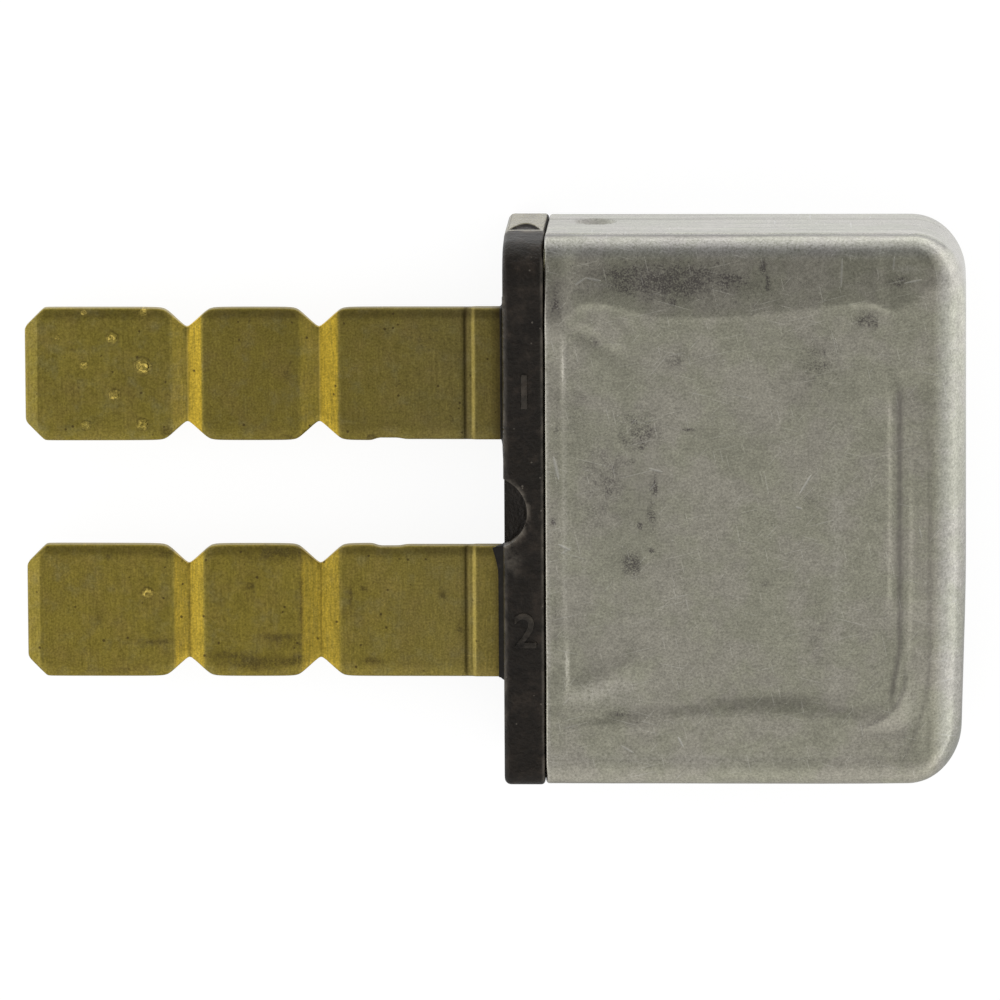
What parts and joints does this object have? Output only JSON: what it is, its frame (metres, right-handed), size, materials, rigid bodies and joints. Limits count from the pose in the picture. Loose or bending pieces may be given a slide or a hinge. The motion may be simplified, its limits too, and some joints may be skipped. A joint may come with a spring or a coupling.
{
  "type": "automotive circuit breaker",
  "caption": "Plug-in automotive circuit breaker: drawn metal can on a black moulded base, long brass blades with break-off grooves, bimetal contact inside.",
  "frame": {"origin": "middle of the base's seating face, where the two blades leave it, at mid-thickness of the can", "axes": "+X from the blades' tips towards the can's closed end, +Y across the blades towards the auxiliary terminal, +Z out of the broad face that lies up"},
  "size_m": [0.0366, 0.0212, 0.0084],
  "materials": {
    "can": "dull drawn metal, scratched and stained",
    "moulding": "black moulding, slight sheen",
    "terminal": "tarnished stamping, brighter in its grooves",
    "compound": "cured black sealing compound",
    "contact": "silver contact",
    "steel": "plain steel",
    "bimetal": "rolled strip",
    "liner": "grey insulating paper"
  },
  "bodies": {
    "housing": {"can": "can", "base": "moulding", "aux_terminal": "terminal", "bat_terminal": "terminal", "terminal_seals": "compound", "fixed_contact": "contact", "weld_slug": "steel", "bimetal_blade": "bimetal", "insulating_liner": "liner"},
    "contact_arm": {"moving_contact": "contact"}
  },
  "joints": [
    {"name": "contact_snap", "type": "hinge", "parent": "housing", "child": "contact_arm", "pos_m": [0.01, 0.00335, 0.00027], "axis": [-1, 0, 0], "range_deg": [0, 6.5], "stiffness_Nm_per_rad": 0.0002, "springref_deg": -2.86, "deforming": ["bimetal_blade"]}
  ]
}
